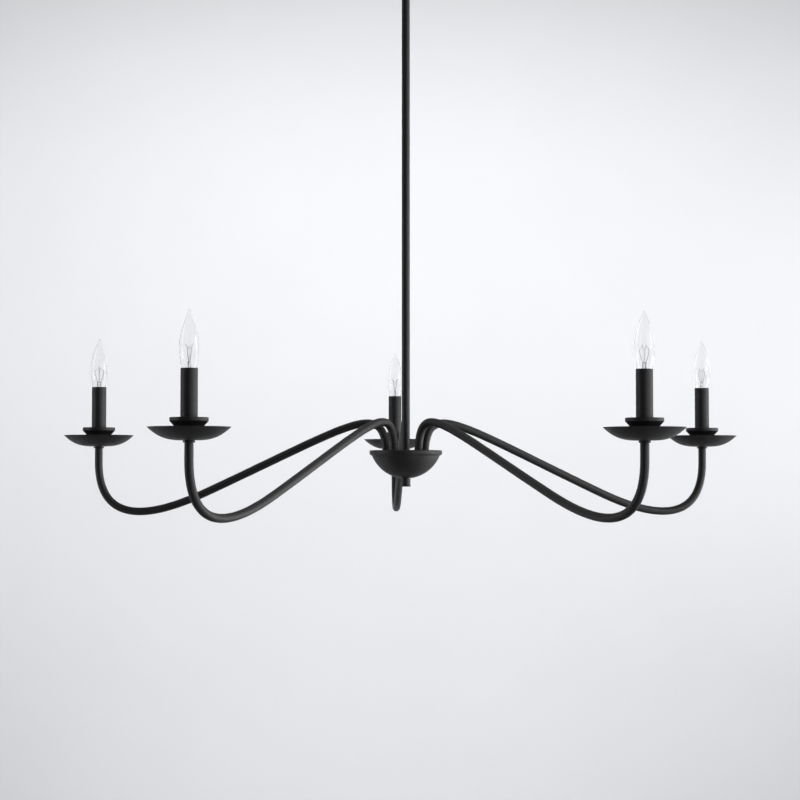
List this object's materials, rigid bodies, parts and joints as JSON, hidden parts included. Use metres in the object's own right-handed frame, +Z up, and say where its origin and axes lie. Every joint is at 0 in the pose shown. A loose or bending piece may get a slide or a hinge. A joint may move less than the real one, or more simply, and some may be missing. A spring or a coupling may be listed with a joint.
{
  "type": "multi arm chandelier",
  "caption": "Pendant chandelier in black metal: curved tube arms on a round hub carry drip pans, candle sleeves and flame bulbs, on a long stem with a swivel and canopy.",
  "frame": {"origin": "on the vertical axis, in the ceiling plane that the canopy's rim and the crossbar meet", "axes": "+Z up; +Y along the first arm; the other arms follow anticlockwise from above at equal angles"},
  "size_m": [1.1168, 1.0676, 0.9287],
  "materials": {
    "black_metal": "satin black powder coat",
    "sleeve_black": "satin black paint",
    "phenolic": "moulded black phenolic",
    "nickel": "nickel-plated brass screw shell",
    "contact": "tinned solder",
    "clear_glass": "clear blown glass",
    "zinc_steel": "zinc plated",
    "wire": "pale PVC insulation"
  },
  "bodies": {
    "ceiling_fixing": {"canopy": "black_metal", "crossbar": "zinc_steel", "ceiling_nipple": "zinc_steel", "canopy_screw_1": "black_metal", "canopy_screw_2": "black_metal"},
    "swivel": {"swivel_yoke": "black_metal", "swivel_pin": "zinc_steel"},
    "pendant": {"swivel_knuckle": "black_metal", "stem_tube": "black_metal", "hub_plate": "black_metal", "hub_bowl": "black_metal", "hub_nut": "zinc_steel", "centre_nipple": "zinc_steel", "finial": "black_metal", "wiring_harness": "wire", "arm_tube_1": "black_metal", "check_ring_1": "black_metal", "drip_pan_1": "black_metal", "candle_cup_1": "black_metal", "candle_sleeve_1": "sleeve_black", "lamp_socket_1": "phenolic", "arm_tube_2": "black_metal", "check_ring_2": "black_metal", "drip_pan_2": "black_metal", "candle_cup_2": "black_metal", "candle_sleeve_2": "sleeve_black", "lamp_socket_2": "phenolic", "arm_tube_3": "black_metal", "check_ring_3": "black_metal", "drip_pan_3": "black_metal", "candle_cup_3": "black_metal", "candle_sleeve_3": "sleeve_black", "lamp_socket_3": "phenolic", "arm_tube_4": "black_metal", "check_ring_4": "black_metal", "drip_pan_4": "black_metal", "candle_cup_4": "black_metal", "candle_sleeve_4": "sleeve_black", "lamp_socket_4": "phenolic", "arm_tube_5": "black_metal", "check_ring_5": "black_metal", "drip_pan_5": "black_metal", "candle_cup_5": "black_metal", "candle_sleeve_5": "sleeve_black", "lamp_socket_5": "phenolic"},
    "bulb_1_rise": {"bulb_contact_1": "contact"},
    "bulb_1": {"bulb_base_1": "nickel", "bulb_glass_1": "clear_glass"},
    "bulb_2_rise": {"bulb_contact_2": "contact"},
    "bulb_2": {"bulb_base_2": "nickel", "bulb_glass_2": "clear_glass"},
    "bulb_3_rise": {"bulb_contact_3": "contact"},
    "bulb_3": {"bulb_base_3": "nickel", "bulb_glass_3": "clear_glass"},
    "bulb_4_rise": {"bulb_contact_4": "contact"},
    "bulb_4": {"bulb_base_4": "nickel", "bulb_glass_4": "clear_glass"},
    "bulb_5_rise": {"bulb_contact_5": "contact"},
    "bulb_5": {"bulb_base_5": "nickel", "bulb_glass_5": "clear_glass"}
  },
  "joints": [
    {"name": "swivel_turn", "type": "hinge", "parent": "ceiling_fixing", "child": "swivel", "pos_m": [0, 0, -0.034], "axis": [0, 0, 1], "range_deg": [-175, 175]},
    {"name": "swivel_tilt", "type": "hinge", "parent": "swivel", "child": "pendant", "pos_m": [0, 0, -0.05], "axis": [1, 0, 0], "range_deg": [-45, 45]},
    {"name": "bulb_1_lift", "type": "slide", "parent": "pendant", "child": "bulb_1_rise", "axis": [0, 0, 1], "range_m": [0, 0.01016]},
    {"name": "bulb_1_turn", "type": "hinge", "parent": "bulb_1_rise", "child": "bulb_1", "pos_m": [0, 0.52705, -0.741], "axis": [0, 0, 1], "range_deg": [0, 1441]},
    {"name": "bulb_2_lift", "type": "slide", "parent": "pendant", "child": "bulb_2_rise", "axis": [0, 0, 1], "range_m": [0, 0.01016]},
    {"name": "bulb_2_turn", "type": "hinge", "parent": "bulb_2_rise", "child": "bulb_2", "pos_m": [-0.50125, 0.16287, -0.741], "axis": [0, 0, 1], "range_deg": [0, 1441]},
    {"name": "bulb_3_lift", "type": "slide", "parent": "pendant", "child": "bulb_3_rise", "axis": [0, 0, 1], "range_m": [0, 0.01016]},
    {"name": "bulb_3_turn", "type": "hinge", "parent": "bulb_3_rise", "child": "bulb_3", "pos_m": [-0.30979, -0.42639, -0.741], "axis": [0, 0, 1], "range_deg": [0, 1441]},
    {"name": "bulb_4_lift", "type": "slide", "parent": "pendant", "child": "bulb_4_rise", "axis": [0, 0, 1], "range_m": [0, 0.01016]},
    {"name": "bulb_4_turn", "type": "hinge", "parent": "bulb_4_rise", "child": "bulb_4", "pos_m": [0.30979, -0.42639, -0.741], "axis": [0, 0, 1], "range_deg": [0, 1441]},
    {"name": "bulb_5_lift", "type": "slide", "parent": "pendant", "child": "bulb_5_rise", "axis": [0, 0, 1], "range_m": [0, 0.01016]},
    {"name": "bulb_5_turn", "type": "hinge", "parent": "bulb_5_rise", "child": "bulb_5", "pos_m": [0.50125, 0.16287, -0.741], "axis": [0, 0, 1], "range_deg": [0, 1441]}
  ],
  "couplings": [
    {"joint": "bulb_1_turn", "follows": "bulb_1_lift", "rad_per_m": 2473.7},
    {"joint": "bulb_2_turn", "follows": "bulb_2_lift", "rad_per_m": 2473.7},
    {"joint": "bulb_3_turn", "follows": "bulb_3_lift", "rad_per_m": 2473.7},
    {"joint": "bulb_4_turn", "follows": "bulb_4_lift", "rad_per_m": 2473.7},
    {"joint": "bulb_5_turn", "follows": "bulb_5_lift", "rad_per_m": 2473.7}
  ]
}
